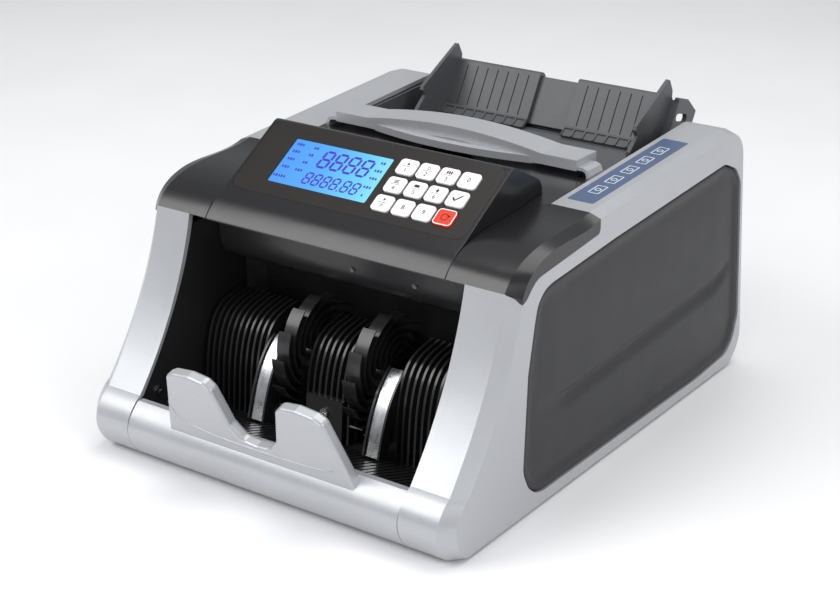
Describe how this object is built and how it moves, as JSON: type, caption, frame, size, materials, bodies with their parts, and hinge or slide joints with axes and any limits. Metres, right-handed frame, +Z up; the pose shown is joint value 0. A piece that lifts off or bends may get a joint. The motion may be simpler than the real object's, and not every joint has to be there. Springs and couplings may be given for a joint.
{
  "type": "banknote counting machine",
  "caption": "Desktop banknote counter with sloping keypad and display, front stacker pocket with bladed wheels, lift-up handle and rear hopper with sliding note guides.",
  "frame": {"origin": "middle of the footprint, on the surface that the rubber feet stand on", "axes": "+X to the machine's right as its user sees it, +Y from the user's side to the back, +Z up"},
  "size_m": [0.26, 0.3551, 0.1889],
  "materials": {
    "silver": "silver grey satin paint on a moulded cover",
    "black_gloss": "black semi-gloss moulded plastic",
    "charcoal": "charcoal fine-grained plastic",
    "black": "black fine-grained plastic",
    "hopper_grey": "dark grey moulded plastic",
    "overlay": "printed dark brown-black panel sheet",
    "display": "lit light blue display",
    "key_white": "white key cap",
    "key_red": "red key cap",
    "board_green": "green circuit board",
    "rubber": "black rubber",
    "steel": "polished and plated steel",
    "zinc": "zinc plated sheet steel",
    "bronze": "sintered bronze",
    "belt": "toothed rubber belt",
    "lamp": "violet lamp glass"
  },
  "bodies": {
    "chassis": {"base_tray": "black", "left_side_cover": "silver", "right_side_cover": "silver", "left_side_panel": "charcoal", "right_side_panel": "charcoal", "front_lip": "silver", "note_stop": "silver", "top_cover": "black_gloss", "console_housing": "black_gloss", "console_overlay": "overlay", "display_module": "display", "control_board": "board_green", "hopper_frame": "hopper_grey", "hopper_tray": "hopper_grey", "retard_rollers": "rubber", "retard_bar": "steel", "stacker_tray": "black", "rib_wall": "black", "guide_strips": "steel", "exit_guide": "black", "path_plate": "black", "note_sensors": "black", "uv_lamp": "lamp", "left_frame_plate": "zinc", "right_frame_plate": "zinc", "shaft_bushes": "bronze", "main_motor": "zinc", "drive_belt": "belt", "pick_belt": "belt", "power_supply": "zinc", "main_board": "board_green", "rear_cover": "black", "power_inlet": "black", "switch_case": "black", "feet": "rubber", "screws": "steel"},
    "handle": {"carry_handle": "silver"},
    "left_guide": {"left_note_guide": "hopper_grey"},
    "right_guide": {"right_note_guide": "hopper_grey"},
    "feed_roll": {"feed_shaft": "steel", "feed_rollers": "rubber"},
    "pick_roll": {"pick_shaft": "steel", "pick_rollers": "rubber"},
    "stacker_roll": {"stacker_shaft": "steel", "left_stacker_wheel": "black", "right_stacker_wheel": "black"},
    "motor_rotor": {"motor_pulley": "steel"},
    "power_rocker": {"power_switch": "black"},
    "key_1_cap": {"key_1": "key_white"},
    "key_2_cap": {"key_2": "key_white"},
    "key_3_cap": {"key_3": "key_white"},
    "key_0_cap": {"key_0": "key_white"},
    "key_4_cap": {"key_4": "key_white"},
    "key_5_cap": {"key_5": "key_white"},
    "key_6_cap": {"key_6": "key_white"},
    "key_set_cap": {"key_set": "key_white"},
    "key_7_cap": {"key_7": "key_white"},
    "key_8_cap": {"key_8": "key_white"},
    "key_9_cap": {"key_9": "key_white"},
    "key_restart_cap": {"key_restart": "key_red"}
  },
  "joints": [
    {"name": "key_1_press", "type": "slide", "parent": "chassis", "child": "key_1_cap", "axis": [0, 0.5259, -0.8505], "range_m": [0, 0.0008], "stiffness_N_per_m": 900},
    {"name": "key_2_press", "type": "slide", "parent": "chassis", "child": "key_2_cap", "axis": [0, 0.5259, -0.8505], "range_m": [0, 0.0008], "stiffness_N_per_m": 900},
    {"name": "key_3_press", "type": "slide", "parent": "chassis", "child": "key_3_cap", "axis": [0, 0.5259, -0.8505], "range_m": [0, 0.0008], "stiffness_N_per_m": 900},
    {"name": "key_0_press", "type": "slide", "parent": "chassis", "child": "key_0_cap", "axis": [0, 0.5259, -0.8505], "range_m": [0, 0.0008], "stiffness_N_per_m": 900},
    {"name": "key_4_press", "type": "slide", "parent": "chassis", "child": "key_4_cap", "axis": [0, 0.5259, -0.8505], "range_m": [0, 0.0008], "stiffness_N_per_m": 900},
    {"name": "key_5_press", "type": "slide", "parent": "chassis", "child": "key_5_cap", "axis": [0, 0.5259, -0.8505], "range_m": [0, 0.0008], "stiffness_N_per_m": 900},
    {"name": "key_6_press", "type": "slide", "parent": "chassis", "child": "key_6_cap", "axis": [0, 0.5259, -0.8505], "range_m": [0, 0.0008], "stiffness_N_per_m": 900},
    {"name": "key_set_press", "type": "slide", "parent": "chassis", "child": "key_set_cap", "axis": [0, 0.5259, -0.8505], "range_m": [0, 0.0008], "stiffness_N_per_m": 900},
    {"name": "key_7_press", "type": "slide", "parent": "chassis", "child": "key_7_cap", "axis": [0, 0.5259, -0.8505], "range_m": [0, 0.0008], "stiffness_N_per_m": 900},
    {"name": "key_8_press", "type": "slide", "parent": "chassis", "child": "key_8_cap", "axis": [0, 0.5259, -0.8505], "range_m": [0, 0.0008], "stiffness_N_per_m": 900},
    {"name": "key_9_press", "type": "slide", "parent": "chassis", "child": "key_9_cap", "axis": [0, 0.5259, -0.8505], "range_m": [0, 0.0008], "stiffness_N_per_m": 900},
    {"name": "key_restart_press", "type": "slide", "parent": "chassis", "child": "key_restart_cap", "axis": [0, 0.5259, -0.8505], "range_m": [0, 0.0008], "stiffness_N_per_m": 900},
    {"name": "handle_lift", "type": "slide", "parent": "chassis", "child": "handle", "axis": [0, 0, 1], "range_m": [0, 0.018]},
    {"name": "left_guide_slide", "type": "slide", "parent": "chassis", "child": "left_guide", "axis": [-1, 0, 0], "range_m": [-0.0135, 0.002]},
    {"name": "right_guide_slide", "type": "slide", "parent": "chassis", "child": "right_guide", "axis": [1, 0, 0], "range_m": [-0.0135, 0.002]},
    {"name": "feed_spin", "type": "hinge", "parent": "chassis", "child": "feed_roll", "pos_m": [0, 0.0355, 0.086], "axis": [1, 0, 0], "continuous": true},
    {"name": "pick_spin", "type": "hinge", "parent": "chassis", "child": "pick_roll", "pos_m": [0, 0.094, 0.1015], "axis": [1, 0, 0], "continuous": true},
    {"name": "stacker_spin", "type": "hinge", "parent": "chassis", "child": "stacker_roll", "pos_m": [0, -0.0775, 0.055], "axis": [1, 0, 0], "continuous": true},
    {"name": "motor_spin", "type": "hinge", "parent": "chassis", "child": "motor_rotor", "pos_m": [0, -0.0145, 0.032], "axis": [1, 0, 0], "continuous": true},
    {"name": "rocker_tilt", "type": "hinge", "parent": "chassis", "child": "power_rocker", "pos_m": [0.022, 0.16941, 0.04169], "axis": [1, 0, 0], "range_deg": [0, 18]}
  ],
  "couplings": [
    {"joint": "pick_spin", "follows": "feed_spin", "ratio": 1},
    {"joint": "stacker_spin", "follows": "feed_spin", "ratio": 0.7},
    {"joint": "motor_spin", "follows": "feed_spin", "ratio": 1.75}
  ]
}
